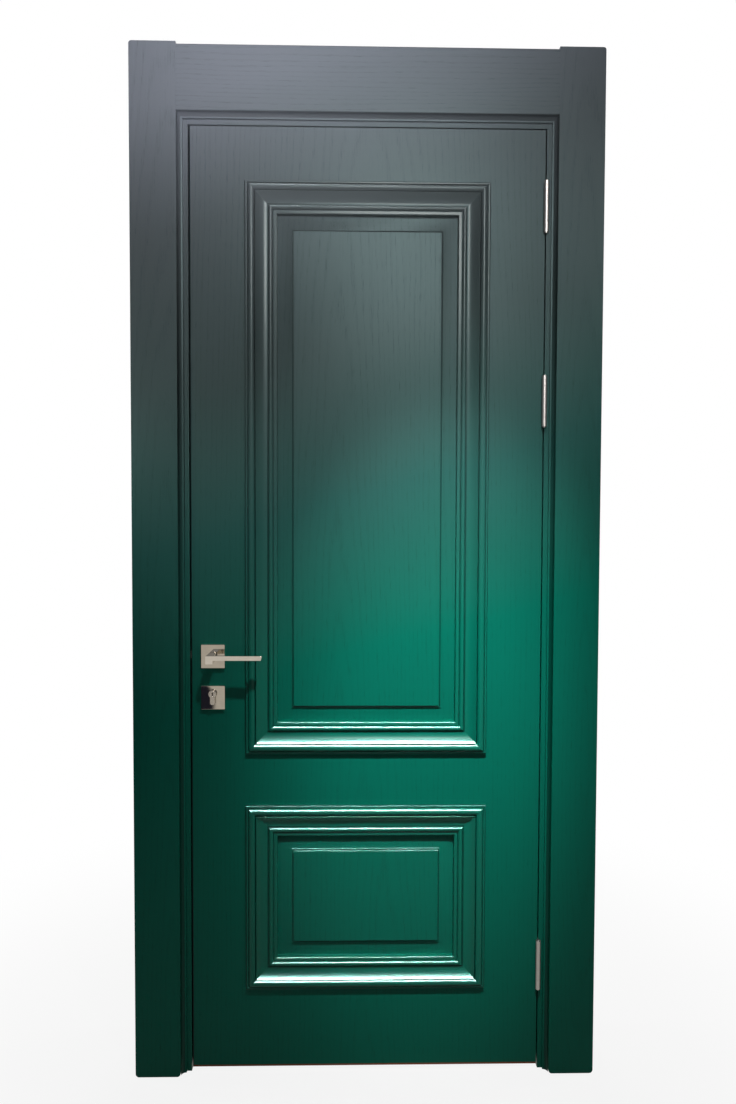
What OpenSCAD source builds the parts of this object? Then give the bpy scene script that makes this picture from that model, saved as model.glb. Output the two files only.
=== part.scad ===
// Interior door set: panelled leaf with bolection mouldings, lined frame and casings on both faces.
// Millimetres. X runs across the doorway, hinges at +X; the face that opens is at -Y; Z is up.
// The origin is on the floor, in the middle of the whole set.

/* [Leaf] */
// Width of the leaf
leaf_w = 800; // [700:10:1000]
// Height of the leaf
leaf_h = 2150; // [2000:10:2400]
// Thickness of the leaf
leaf_t = 45; // [42:1:54]
// Thickness of each face sheet
face_t = 5; // [3:0.5:6]
// Gap under the leaf
floor_gap = 10; // [4:1:20]
// Gap between the leaf and the frame, at the sides and the top
leaf_gap = 3; // [2.4:0.2:4]
// Length of the rails' tenons
tenon_len = 60; // [30:5:90]
// Thickness of the rails' tenons
tenon_t = 11; // [8:1:14]

/* [Panels and mouldings] */
// Distance from the leaf's side to the moulding frame
side_margin = 124; // [110:1:160]
// Distance from the leaf's top to the upper moulding frame
top_margin = 120; // [90:1:180]
// Distance between the two moulding frames
rail_margin = 120; // [90:1:160]
// Height of the lower moulding frame; the upper one takes the rest
lower_frame_h = 430; // [300:2:480]
// Distance from the leaf's bottom to the lower moulding frame
bottom_margin = 186; // [150:1:230]
// Width of the moulding
moulding_w = 72; // [66:1:84]
// How far the moulding laps over the face of the leaf
moulding_lap = 26; // [22:1:32]
// Height of the outer bead above the face of the leaf
outer_bead_h = 14.5; // [12:0.5:18]
// Radius of the outer bead
outer_bead_r = 8.5; // [7:0.5:9]
// Width of the fillet along the moulding's outer edge
outer_fillet_w = 5; // [3:0.5:7]
// Height of that fillet above the face of the leaf
outer_fillet_h = 8.5; // [7:0.5:10]
// Radius of the inner bead
inner_bead_r = 5.5; // [4:0.5:6]
// Width of the fillet along the moulding's inner edge
inner_fillet_w = 8; // [5:0.5:10]
// Width of the narrow grooves beside the beads
quirk_w = 1; // [0.6:0.2:2]
// Depth from the face of the leaf to the panel's tongue
panel_drop = 11; // [8:0.5:14]
// Width of the panel's bevel
bevel_w = 33; // [20:1:45]
// Rise of the bevel
bevel_rise = 4.5; // [2:0.5:6]
// Width of the ledge between the bevel and the raised field
ledge_w = 4; // [2:0.5:8]
// Height of each of the two steps beside the ledge
step_h = 2.6; // [1:0.2:3]

/* [Frame] */
// Thickness of the jambs
jamb_t = 35; // [30:1:45]
// Depth of the jambs, the thickness of the wall
jamb_depth = 160; // [130:5:260]
// Thickness of the planted stops
stop_t = 12; // [10:1:16]
// Width of the planted stops
stop_w = 40; // [30:1:50]
// Gap between the leaf and the stops, filled by the seal
seal_gap = 3; // [2.4:0.2:4]

/* [Casings] */
// Width of the side casings, without the coved lip
casing_w = 103; // [70:1:130]
// Height of the head casing, without the coved lip
head_casing_h = 144; // [80:1:180]
// How far the side casings rise above the head casing
casing_ear = 4; // [0:0.5:10]
// Thickness of the casings
casing_t = 22; // [19:1:28]
// Width of the jamb's edge left showing beside the leaf
reveal = 11; // [9:0.5:14]
// Width of the coved lip, the radius of its cove
lip_w = 11; // [6:0.5:12]
// Thickness of the lip at its edge
lip_edge = 6; // [4:0.5:8]
// Radius of the casings' outer edges
casing_round = 6; // [2:0.5:8]
// Thickness of the tongue that locates a casing in the jamb
tongue_t = 6; // [4:0.5:8]
// Depth of that tongue
tongue_d = 9; // [6:0.5:10]

/* [Hinges] */
// Height of a hinge
hinge_h = 114; // [90:1:130]
// Width of a hinge flap in the gap
flap_w = 30; // [28:1:34]
// Thickness of a hinge flap
flap_t = 2.5; // [2:0.1:3]
// Radius of the hinge barrel
barrel_r = 6; // [5:0.5:7]
// Radius of the hinge pin
pin_r = 2.5; // [2:0.1:3]
// Distance from the leaf's top down to the top hinge's middle
top_hinge_drop = 172; // [140:1:220]
// Distance from the top hinge's middle down to the middle hinge's
middle_hinge_drop = 435; // [300:5:900]
// Distance from the leaf's bottom up to the bottom hinge's middle
bottom_hinge_rise = 240; // [180:1:320]
// Number of knuckles on a hinge
knuckle_count = 5; // [3:2:7]

/* [Lock] */
// Height of the lever's spindle above the floor
handle_z = 971; // [930:1:1000]
// Distance from the leaf's edge to the spindle
backset = 50; // [45:1:60]
// Distance from the spindle down to the cylinder's axis
cylinder_drop = 85; // [80:1:92]
// Depth of the lock case
case_d = 85; // [80:1:95]
// Thickness of the lock case
case_t = 16; // [14:0.5:18]
// Wall of the lock case
case_wall = 1.5; // [1:0.1:2]
// Thickness of the forend
forend_t = 3; // [2:0.5:4]
// Width of the forend
forend_w = 22; // [20:1:26]
// Travel of the latch bolt
latch_throw = 12; // [10:0.5:13]
// Travel of the dead bolt
bolt_throw = 14; // [10:0.5:16]
// Thickness of the strike plate
strike_t = 2; // [1.5:0.5:3]
// Width of the strike plate
strike_w = 24; // [22:1:28]

/* [Furniture] */
// Side of the square roses and escutcheons
rose_w = 54; // [48:1:58]
// Thickness of the roses and escutcheons
rose_t = 8; // [6:0.5:10]
// Side of the square spindle
spindle_w = 8; // [7:0.5:8]
// How far the lever stands out from the face of the leaf
lever_reach = 62; // [50:1:75]
// Length of the lever's arm from the spindle
lever_len = 117; // [90:1:140]
// Height of the lever's arm
arm_h = 10; // [8:0.5:14]
// Thickness of the lever's arm
arm_t = 10; // [8:0.5:13]
// Width of the lever's neck
neck_w = 16; // [13:0.5:18]
// Height of the lever's neck
neck_h = 18; // [14:0.5:22]
// Radius of the lever's collar in the rose
collar_r = 10; // [9:0.5:12]

/* [Hidden] */
$fn = 64;

// Colours of the finishes
slate = "#5c6770";
teal = "#1f4a49";
emerald = "#045a46";
timber = "#b98d5f";
rubber = "#2b2b2b";
nickel = "#b9afa0";
steel = "#c8c6be";

// A small length that lets cuts run past the faces they cut
over = 1;
// Clearance of a pin, collar or plug in its bore
run_fit = 0.05;
// Clearance of a tongue, tenon or fitted plate
joint_fit = 0.2;
// Clearance of a sliding or loose piece
slide_fit = 0.4;

// Leaf and frame lines, with y = 0 at the front face of the leaf
half_leaf = leaf_w / 2;
leaf_z0 = floor_gap;
leaf_z1 = floor_gap + leaf_h;
leaf_mid = leaf_t / 2;
jamb_in = half_leaf + leaf_gap;
jamb_out = jamb_in + jamb_t;
head_in = leaf_z1 + leaf_gap;
head_out = head_in + jamb_t;
y_middle = (jamb_depth + casing_t - lever_reach) / 2;

// Moulding frames and the openings they cover
half_frame = half_leaf - side_margin;
lower_z0 = leaf_z0 + bottom_margin;
lower_z1 = lower_z0 + lower_frame_h;
upper_z0 = lower_z1 + rail_margin;
upper_z1 = leaf_z1 - top_margin;
half_opening = half_frame - moulding_lap;
panel_fit = 1;
tongue_show = moulding_w - moulding_lap - panel_fit;
cove_end = moulding_w - inner_fillet_w - 2 * quirk_w - 2 * inner_bead_r;
outer_bead_s = outer_fillet_w + quirk_w + outer_bead_r;
inner_bead_s = cove_end + quirk_w + inner_bead_r;
cove_start = outer_bead_s + outer_bead_r + quirk_w;
bead_base = outer_bead_h - outer_bead_r;
cove_top = outer_bead_h - 2;
cove_foot = 1;
cove_shoulder = 1;
quirk_step = 0.4;
inner_fillet_h = 2.2;
// Hairline left at the mitres
mitre_fit = 0.1;

// Casing lines
lip_in = jamb_in + reveal;
casing_in = lip_in + lip_w;
casing_out = casing_in + casing_w;
head_lip = head_in + reveal;
head_casing_in = head_lip + lip_w;
head_casing_out = head_casing_in + head_casing_h;
casing_top = head_casing_out + casing_ear;
tongue_u = (jamb_t - tongue_t) / 2 - reveal;
foot_round = 8;
arris_round = 2;

// Stops and seal
stop_y = leaf_t + seal_gap;
stop_in = jamb_in - stop_t;
seal_stem_t = 2.4;
seal_stem_d = 6;
seal_bulb_r = seal_gap - 0.4;

// Hinges
axis_x = half_leaf + leaf_gap / 2;
barrel_gap = 1;
axis_y = -(barrel_r + barrel_gap);
flap_gap = 0.2;
knuckle_gap = 0.3;
knuckle_h = hinge_h / knuckle_count;
flap_y0 = -barrel_gap / 2;
top_hinge_z = leaf_z1 - top_hinge_drop;
middle_hinge_z = top_hinge_z - middle_hinge_drop;
bottom_hinge_z = leaf_z0 + bottom_hinge_rise;
hinge_heights = [top_hinge_z, middle_hinge_z, bottom_hinge_z];
pin_head_r = pin_r + 1.7;
pin_head_h = 1.6;
screw_r = 2;
screw_head_r = 4;
screw_len = 28;
recess_x = flap_gap + flap_t;
outer_screw_y = 23;
inner_screw_y = 15;
hinge_screw_spots = [
    for (side = [-1, 1], at = [[outer_screw_y, 0.4], [inner_screw_y, 0.15]]) [at[0], side * at[1] * hinge_h]
];

// Lock
spindle_x = -half_leaf + backset;
cylinder_z = handle_z - cylinder_drop;
case_x0 = -half_leaf + forend_t;
case_x1 = case_x0 + case_d;
case_over = 45;
case_under = 55;
case_z1 = handle_z + case_over;
case_z0 = cylinder_z - case_under;
forend_over = 20;
forend_z0 = case_z0 - forend_over;
forend_z1 = case_z1 + forend_over;
hub_r = 9.5;
hub_arm_w = 5;
hub_arm_len = 21;
hub_arm_y = 1.5;
latch_t = 12;
latch_h = 16;
latch_out = latch_throw - 1;
latch_x0 = -half_leaf - latch_out;
latch_head_len = 36;
latch_tail_z0 = 15.5;
latch_tail_h = 4.5;
latch_tail_root = 8;
latch_tail_y = 2;
latch_tail_t = 3;
latch_nose = 2;
latch_hook_gap = 2;
latch_hook_w = 4.5;
hook_y = 5;
bolt_t = 11;
bolt_h = 20;
bolt_lift = 15;
bolt_len = 55;
bolt_set = 0.2;
barrel_profile_r = 8.5;
profile_leg_w = 10;
profile_leg_drop = 24.5;
cylinder_out = 3;
plug_r = 6.5;
cam_r = 14.5;
cam_hub_r = 8;
cam_t = 10;
keyway_w = 2.4;
keyway_h = 9;
keyway_d = 24;
key_screw_drop = 20;
escutcheon_drop = 9.5;
escutcheon_z = cylinder_z - escutcheon_drop;
rose_round = 1.5;
collar_len = 7;
strike_over = 40;
strike_under = 5;
strike_screw_in = 9;
strike_z0 = cylinder_z - strike_under;
strike_z1 = handle_z + strike_over;
strike_play = 2;

// Places the door's own axes, with the leaf's front face at y = 0, about the origin
module door_space() {
    translate([0, -y_middle, 0]) children();
}

// The other face of the leaf, as seen from its middle plane
module leaf_rear() {
    translate([0, leaf_t, 0]) mirror([0, 1, 0]) children();
}

// The other face of the wall
module wall_rear() {
    translate([0, jamb_depth, 0]) mirror([0, 1, 0]) children();
}

// A block between two corners
module block(a, b) {
    translate(a) cube(b - a);
}

// An outline drawn in X and Z, standing between two depths
module upright(y0, y1) {
    translate([0, y1, 0]) rotate([90, 0, 0]) linear_extrude(y1 - y0) children();
}

// An outline drawn in Y and Z, running between two places along X
module along_x(x0, x1) {
    translate([x0, 0, 0]) rotate([90, 0, 90]) linear_extrude(x1 - x0) children();
}

// What lies outside a rounded corner, with the corner at the origin and the shape on its lower left
module corner_waste(r) {
    translate([-r, -r]) difference() {
        square(r + over);
        circle(r);
    }
}

// A rectangle with rounded corners about the origin
module rounded_plate(w, h, r) {
    difference() {
        square([w, h], center = true);
        for (sx = [0, 1], sy = [0, 1])
            mirror([sx, 0]) mirror([0, sy]) translate([w / 2, h / 2]) corner_waste(r);
    }
}

// A cylinder that runs through the leaf, about an axis along Y
module cross_cylinder(x, z, y0, y1, r) {
    translate([x, y1, z]) rotate([90, 0, 0]) cylinder(h = y1 - y0, r = r);
}

// A countersunk wood screw with its head at the origin, pointing along +X
module wood_screw(grow = 0, len = screw_len) {
    head_l = screw_head_r - screw_r;
    rotate([0, 90, 0]) {
        cylinder(h = head_l, r1 = screw_head_r + grow, r2 = screw_r + grow);
        cylinder(h = len + grow, r = screw_r + grow);
    }
}

// A wood screw with a cross recess
module driven_screw(len = screw_len) {
    slot_l = 1.1 * screw_head_r;
    difference() {
        wood_screw(0, len);
        for (turn = [0, 90])
            rotate([turn, 0, 0]) translate([-over, -0.4, -slot_l / 2]) cube([over + 1.2, 0.8, slot_l]);
    }
}

// The section of a casing: u outwards from the lip's edge, v off the wall
module casing_section(body_w) {
    full_w = lip_w + body_w;
    cove_v = lip_edge + lip_w;
    difference() {
        square([full_w, casing_t]);
        translate([0, cove_v]) circle(lip_w);
        translate([-over, cove_v]) square([lip_w + over, casing_t]);
        translate([full_w, casing_t]) corner_waste(casing_round);
        translate([lip_w, casing_t]) mirror([1, 0]) corner_waste(arris_round);
    }
    translate([tongue_u, -tongue_d]) square([tongue_t, tongue_d + over]);
}

// The outline of the hinge-side casing in X and Z, with its lip mitred under the head
module side_casing_outline() {
    difference() {
        polygon([
            [lip_in, 0], [casing_out, 0], [casing_out, casing_top], [casing_in, casing_top],
            [casing_in, head_casing_in], [lip_in, head_lip]
        ]);
        translate([casing_out, casing_top]) corner_waste(casing_round);
        translate([casing_out, 0]) mirror([0, 1]) corner_waste(foot_round);
        translate([casing_in, casing_top]) mirror([1, 0]) corner_waste(arris_round);
    }
}

// The ends of a side casing, in Y and Z
module casing_ends() {
    difference() {
        translate([-casing_t, 0]) square([casing_t + tongue_d, casing_top]);
        translate([-casing_t, casing_top]) mirror([1, 0]) corner_waste(casing_round);
        translate([-casing_t, 0]) rotate(180) corner_waste(arris_round);
    }
}

// The side casing of the hinge side, on the front
module side_casing() {
    intersection() {
        translate([lip_in, 0, 0]) mirror([0, 1, 0]) linear_extrude(casing_top) casing_section(casing_w);
        upright(-casing_t - over, tongue_d + over) side_casing_outline();
        along_x(lip_in - over, casing_out + over) casing_ends();
    }
}

// The head casing on the front, between the side casings
module head_casing() {
    intersection() {
        along_x(-jamb_in + joint_fit, jamb_in - joint_fit)
            translate([0, head_lip]) rotate(90) casing_section(head_casing_h);
        upright(-over, tongue_d + over) square([2 * casing_out, 2 * casing_top], center = true);
    }
    intersection() {
        along_x(-casing_in, casing_in) translate([0, head_lip]) rotate(90) casing_section(head_casing_h);
        upright(-casing_t - over, 0) polygon([
            [-lip_in, head_lip], [lip_in, head_lip], [casing_in, head_casing_in],
            [casing_in, head_casing_out], [-casing_in, head_casing_out], [-casing_in, head_casing_in]
        ]);
    }
}

// The groove in the edge of a jamb, for the casing's tongue
module tongue_groove(along) {
    linear_extrude(along) translate([jamb_in + reveal + tongue_u - joint_fit, -over])
        square([tongue_t + 2 * joint_fit, tongue_d + joint_fit + over]);
}

// A side jamb, before its fittings are let in, on the hinge side
module plain_jamb() {
    difference() {
        block([jamb_in, 0, 0], [jamb_out, jamb_depth, head_out]);
        translate([0, 0, -over]) tongue_groove(head_out + 2 * over);
        translate([0, 0, -over]) wall_rear() tongue_groove(head_out + 2 * over);
    }
}

// The recess for a hinge flap in the face of the jamb or the edge of the leaf
module flap_recess(z, side) {
    deep = recess_x + joint_fit;
    translate([axis_x, -over, z - hinge_h / 2 - joint_fit])
        mirror([side, 0, 0]) cube([deep, flap_w + joint_fit + over, hinge_h + 2 * joint_fit]);
}

// The screws of one hinge flap, on the jamb's side
module flap_screws(z) {
    for (at = hinge_screw_spots)
        translate([axis_x + flap_gap, at[0], z + at[1]]) children();
}

// The leaf's side of a hinge is the jamb's side turned over
module hinge_other_side() {
    translate([2 * axis_x, 0, 0]) mirror([1, 0, 0]) children();
}

// A hinge flap with the knuckles that belong to it
module hinge_flap(z, first) {
    translate([axis_x, 0, z - hinge_h / 2]) difference() {
        union() {
            block([flap_gap, flap_y0, 0], [recess_x, flap_w, hinge_h]);
            for (k = [first : 2 : knuckle_count - 1]) translate([0, 0, k * knuckle_h + knuckle_gap / 2]) {
                translate([0, axis_y, 0]) cylinder(h = knuckle_h - knuckle_gap, r = barrel_r);
                block([flap_gap, axis_y, 0], [recess_x, flap_y0 + over, knuckle_h - knuckle_gap]);
            }
        }
        translate([0, axis_y, -over]) cylinder(h = hinge_h + 2 * over, r = pin_r + run_fit);
        translate([-axis_x, 0, hinge_h / 2 - z]) flap_screws(z) wood_screw(joint_fit / 2);
    }
}

module frame_flap(z) {
    color(steel) door_space() hinge_flap(z, 0);
}

module door_flap(z) {
    color(steel) door_space() hinge_other_side() hinge_flap(z, 1);
}

// Frame

module lock_jamb() {
    color(teal) door_space() difference() {
        mirror([1, 0, 0]) plain_jamb();
        strike_space();
        strike_screw_places() wood_screw(run_fit);
    }
}

module hinge_jamb() {
    color(teal) door_space() difference() {
        plain_jamb();
        for (z = hinge_heights) {
            flap_recess(z, 0);
            flap_screws(z) wood_screw(run_fit);
        }
    }
}

module head_jamb() {
    groove_z = head_in + reveal + tongue_u - joint_fit;
    groove_h = tongue_t + 2 * joint_fit;
    groove_d = tongue_d + joint_fit;
    color(slate) door_space() difference() {
        block([-jamb_in, 0, head_in], [jamb_in, jamb_depth, head_out]);
        for (y = [-over, jamb_depth - groove_d])
            translate([-jamb_in - over, y, groove_z]) cube([2 * (jamb_in + over), groove_d + over, groove_h]);
    }
}

// The section of a stop with its seal groove, in the plane across its length: x off the jamb, y depth
module stop_section() {
    difference() {
        translate([-stop_t, stop_y]) square([stop_t, stop_w]);
        translate([-stop_t / 2 - seal_stem_t / 2 - joint_fit / 2, stop_y - over])
            square([seal_stem_t + joint_fit, seal_stem_d + joint_fit + over]);
    }
}

// The section of the seal: a stem in the groove and a hollow bulb against the leaf
module seal_section() {
    translate([-stop_t / 2, stop_y]) {
        translate([-seal_stem_t / 2, -joint_fit]) square([seal_stem_t, seal_stem_d + joint_fit]);
        difference() {
            intersection() {
                circle(seal_bulb_r);
                translate([-2 * seal_bulb_r, -2 * seal_bulb_r]) square([4 * seal_bulb_r, 2 * seal_bulb_r]);
            }
            translate([0, -seal_bulb_r / 2]) circle(seal_bulb_r / 4);
        }
    }
}

module side_stop() {
    translate([jamb_in, 0, 0]) linear_extrude(head_in) stop_section();
}

module hinge_stop() {
    color(teal) door_space() side_stop();
}

module lock_stop() {
    color(teal) door_space() mirror([1, 0, 0]) side_stop();
}

module head_stop() {
    color(slate) door_space() along_x(-stop_in, stop_in)
        translate([0, head_in]) rotate(90) mirror([0, 1]) stop_section();
}

module seal_strip() {
    color(rubber) door_space() {
        for (side = [0, 1])
            mirror([side, 0, 0]) translate([jamb_in, 0, 0]) linear_extrude(head_in) seal_section();
        along_x(-stop_in, stop_in) translate([0, head_in]) rotate(90) mirror([0, 1]) seal_section();
    }
}

module hinge_casing_front() {
    color(teal) door_space() side_casing();
}

module lock_casing_front() {
    color(teal) door_space() mirror([1, 0, 0]) side_casing();
}

module head_casing_front() {
    color(slate) door_space() head_casing();
}

module hinge_casing_rear() {
    color(teal) door_space() wall_rear() side_casing();
}

module lock_casing_rear() {
    color(teal) door_space() wall_rear() mirror([1, 0, 0]) side_casing();
}

module head_casing_rear() {
    color(slate) door_space() wall_rear() head_casing();
}

// The windows in the strike plate, grown by some play
module strike_windows(deep) {
    x1 = -jamb_in + over;
    for (w = [[latch_t, latch_h, handle_z], [bolt_t, bolt_h, cylinder_z + bolt_lift + bolt_h / 2]])
        block(
            [x1 - over - deep, leaf_mid - w[0] / 2 - strike_play, w[2] - w[1] / 2 - strike_play],
            [x1, leaf_mid + w[0] / 2 + strike_play, w[2] + w[1] / 2 + strike_play]
        );
}

// What the lock jamb loses to the strike plate and the pockets behind it
module strike_space() {
    block(
        [-jamb_in - strike_t, leaf_mid - strike_w / 2 - joint_fit, strike_z0 - joint_fit],
        [-jamb_in + over, leaf_mid + strike_w / 2 + joint_fit, strike_z1 + joint_fit]
    );
    strike_windows(strike_t + bolt_throw + strike_play);
}

module strike_screw_places() {
    for (z = [strike_z0 + strike_screw_in, strike_z1 - strike_screw_in])
        translate([-jamb_in, leaf_mid, z]) mirror([1, 0, 0]) children();
}

module strike_plate() {
    color(nickel) door_space() difference() {
        block(
            [-jamb_in - strike_t, leaf_mid - strike_w / 2, strike_z0],
            [-jamb_in, leaf_mid + strike_w / 2, strike_z1]
        );
        strike_windows(strike_t + over);
        strike_screw_places() wood_screw(joint_fit / 2);
    }
}

module strike_screws() {
    color(nickel) door_space() strike_screw_places() driven_screw();
}

module top_hinge_frame_leaf() {
    frame_flap(top_hinge_z);
}

module middle_hinge_frame_leaf() {
    frame_flap(middle_hinge_z);
}

module bottom_hinge_frame_leaf() {
    frame_flap(bottom_hinge_z);
}

module hinge_pins() {
    color(steel) door_space() for (z = hinge_heights) translate([axis_x, axis_y, z]) {
        cylinder(h = hinge_h, r = pin_r, center = true);
        for (end = [0, 1])
            mirror([0, 0, end]) translate([0, 0, hinge_h / 2]) cylinder(h = pin_head_h, r = pin_head_r);
    }
}

module frame_hinge_screws() {
    color(steel) door_space() for (z = hinge_heights) flap_screws(z) driven_screw();
}

// Leaf

// The mortise and the through holes of the lock, cut from the stile and the face sheets
module lock_space() {
    block(
        [-half_leaf - over, leaf_mid - case_t / 2 - slide_fit, case_z0 - slide_fit],
        [case_x1 + slide_fit, leaf_mid + case_t / 2 + slide_fit, case_z1 + slide_fit]
    );
    block(
        [-half_leaf - over, leaf_mid - forend_w / 2 - joint_fit, forend_z0 - joint_fit],
        [case_x0, leaf_mid + forend_w / 2 + joint_fit, forend_z1 + joint_fit]
    );
    cross_cylinder(spindle_x, handle_z, -over, leaf_t + over, hub_r + over);
    upright(-over, leaf_t + over) cylinder_profile(slide_fit);
    forend_screw_places() wood_screw(run_fit);
}

// The outline of the profile cylinder, in X and Z
module cylinder_profile(grow = 0) {
    translate([spindle_x, cylinder_z]) {
        circle(barrel_profile_r + grow);
        leg_r = profile_leg_w / 2;
        translate([-leg_r - grow, leg_r - profile_leg_drop])
            square([profile_leg_w + 2 * grow, profile_leg_drop - leg_r]);
        translate([0, leg_r - profile_leg_drop]) circle(leg_r + grow);
    }
}

// A tenon space or a tenon on one end of a rail, on the hinge side
module tenon(z0, z1, grow = 0) {
    shoulder = 20;
    block(
        [half_opening - over, leaf_mid - tenon_t / 2 - grow, z0 + shoulder - grow],
        [half_opening + tenon_len + grow, leaf_mid + tenon_t / 2 + grow, z1 - shoulder + grow]
    );
}

top_rail_z0 = upper_z1 - moulding_lap;
lock_rail_z1 = upper_z0 + moulding_lap;
lock_rail_z0 = lower_z1 - moulding_lap;
bottom_rail_z1 = lower_z0 + moulding_lap;
rail_spans = [[top_rail_z0, leaf_z1], [lock_rail_z0, lock_rail_z1], [leaf_z0, bottom_rail_z1]];

// A stile on the hinge side, with the mortises for the rails
module plain_stile() {
    difference() {
        block([half_opening, face_t, leaf_z0], [half_leaf, leaf_t - face_t, leaf_z1]);
        for (span = rail_spans) tenon(span[0], span[1], joint_fit);
    }
}

module rail(span) {
    block([-half_opening, face_t, span[0]], [half_opening, leaf_t - face_t, span[1]]);
    for (side = [0, 1]) mirror([side, 0, 0]) tenon(span[0], span[1]);
}

module lock_stile() {
    color(timber) door_space() difference() {
        mirror([1, 0, 0]) plain_stile();
        lock_space();
    }
}

module hinge_stile() {
    color(timber) door_space() difference() {
        plain_stile();
        door_hinge_cuts();
    }
}

module top_rail() {
    color(timber) door_space() rail(rail_spans[0]);
}

module lock_rail() {
    color(timber) door_space() rail(rail_spans[1]);
}

module bottom_rail() {
    color(timber) door_space() rail(rail_spans[2]);
}

// What the leaf loses to the hinges
module door_hinge_cuts() {
    for (z = hinge_heights) {
        flap_recess(z, 1);
        hinge_other_side() flap_screws(z) wood_screw(run_fit);
    }
}

// A face sheet on the front, with the two panel openings
module face_sheet() {
    difference() {
        block([-half_leaf, 0, leaf_z0], [half_leaf, face_t, leaf_z1]);
        for (z = [[lock_rail_z1, top_rail_z0], [bottom_rail_z1, lock_rail_z0]])
            block([-half_opening, -over, z[0]], [half_opening, face_t + over, z[1]]);
        lock_space();
    }
}

module front_face_sheet() {
    color(emerald) door_space() difference() {
        face_sheet();
        door_hinge_cuts();
    }
}

module rear_face_sheet() {
    color(emerald) door_space() leaf_rear() face_sheet();
}

// Half of a panel's section: distance from the panel's edge and depth from the leaf's face
panel_steps = [
    [0, panel_drop],
    [tongue_show, panel_drop],
    [tongue_show + bevel_w, panel_drop - bevel_rise],
    [tongue_show + bevel_w, panel_drop - bevel_rise - step_h],
    [tongue_show + bevel_w + ledge_w, panel_drop - bevel_rise - step_h],
    [tongue_show + bevel_w + ledge_w, panel_drop - bevel_rise - 2 * step_h]
];

// The section of a raised panel across a width: the raised face at both sides of the leaf
function panel_section(w) =
    let (last = len(panel_steps) - 1)
    concat(
        [for (p = panel_steps) [p[0] - w / 2, p[1]]],
        [for (i = [last : -1 : 0]) [w / 2 - panel_steps[i][0], panel_steps[i][1]]],
        [for (p = panel_steps) [w / 2 - p[0], leaf_t - p[1]]],
        [for (i = [last : -1 : 0]) [panel_steps[i][0] - w / 2, leaf_t - panel_steps[i][1]]]
    );

// A raised and fielded panel in an opening between two heights
module raised_panel(z0, z1) {
    panel_w = 2 * (half_opening - panel_fit);
    panel_h = z1 - z0 - 2 * panel_fit;
    translate([0, 0, (z0 + z1) / 2]) intersection() {
        translate([0, 0, -panel_h / 2]) linear_extrude(panel_h) polygon(panel_section(panel_w));
        along_x(-panel_w / 2, panel_w / 2) rotate(90) mirror([0, 1]) polygon(panel_section(panel_h));
    }
}

module upper_panel() {
    color(emerald) door_space() raised_panel(lock_rail_z1, top_rail_z0);
}

module lower_panel() {
    color(emerald) door_space() raised_panel(bottom_rail_z1, lock_rail_z0);
}

// The upper half of a disc standing on a level, rooted a little under it
module bead(s, level, r) {
    root = cove_foot / 2;
    translate([s, level]) intersection() {
        circle(r);
        translate([-2 * r, -root]) square([4 * r, 2 * r]);
    }
}

// The bolection moulding's section under its beads: s inwards from the outer edge, h above the leaf's face
module moulding_section() {
    back_step = moulding_lap + joint_fit;
    fillet_s = moulding_w - inner_fillet_w;
    run = cove_end - cove_start - cove_shoulder;
    cove_low = cove_foot + quirk_step;
    drop = cove_top - cove_low;
    cove_r = (run * run + drop * drop) / (2 * drop);
    difference() {
        polygon([
            [0, 0], [0, outer_fillet_h], [outer_fillet_w, outer_fillet_h], [outer_fillet_w, bead_base],
            [cove_start, bead_base], [cove_start, cove_top], [cove_end, cove_top],
            [cove_end, cove_foot], [fillet_s, cove_foot], [fillet_s, inner_fillet_h],
            [moulding_w, inner_fillet_h], [moulding_w, -panel_drop], [back_step, -panel_drop], [back_step, 0]
        ]);
        intersection() {
            translate([cove_end, cove_low + cove_r]) circle(cove_r);
            translate([cove_start, 0]) square([cove_end - cove_start + over, 2 * cove_top]);
        }
        translate([0, outer_fillet_h]) mirror([1, 0]) corner_waste(arris_round);
        translate([moulding_w, inner_fillet_h]) corner_waste(inner_fillet_h);
    }
}

// A section run along X and mitred at both ends
module mitred(length) {
    half = length / 2 - mitre_fit / 2;
    far = moulding_w + over;
    intersection() {
        along_x(-half - 2 * over, half + 2 * over) rotate(90) children();
        upright(-2 * outer_bead_h, 2 * panel_drop) polygon([
            [-half - over, -over], [half + over, -over], [half - far, far], [far - half, far]
        ]);
    }
}

// A mitred length of moulding along X, with its outer edge at z = 0
module moulding_length(length) {
    mitred(length) moulding_section();
    mitred(length) bead(outer_bead_s, bead_base, outer_bead_r);
    mitred(length) bead(inner_bead_s, cove_foot, inner_bead_r);
}

module moulding_bottom(z0) {
    translate([0, 0, z0]) moulding_length(2 * half_frame);
}

module moulding_top(z1) {
    translate([0, 0, z1]) mirror([0, 0, 1]) moulding_length(2 * half_frame);
}

module moulding_left(z0, z1) {
    translate([-half_frame, 0, (z0 + z1) / 2]) rotate([0, 90, 0]) moulding_length(z1 - z0);
}

module moulding_right(z0, z1) {
    mirror([1, 0, 0]) moulding_left(z0, z1);
}

module moulding_frame(z0, z1) {
    moulding_bottom(z0);
    moulding_top(z1);
    moulding_left(z0, z1);
    moulding_right(z0, z1);
}

module upper_moulding_top() {
    color(slate) door_space() moulding_top(upper_z1);
}

module upper_moulding_bottom() {
    color(emerald) door_space() moulding_bottom(upper_z0);
}

module upper_moulding_left() {
    color(teal) door_space() moulding_left(upper_z0, upper_z1);
}

module upper_moulding_right() {
    color(teal) door_space() moulding_right(upper_z0, upper_z1);
}

module lower_moulding_top() {
    color(emerald) door_space() moulding_top(lower_z1);
}

module lower_moulding_bottom() {
    color(emerald) door_space() moulding_bottom(lower_z0);
}

module lower_moulding_left() {
    color(emerald) door_space() moulding_left(lower_z0, lower_z1);
}

module lower_moulding_right() {
    color(emerald) door_space() moulding_right(lower_z0, lower_z1);
}

module upper_mouldings_rear() {
    color(teal) door_space() leaf_rear() moulding_frame(upper_z0, upper_z1);
}

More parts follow.
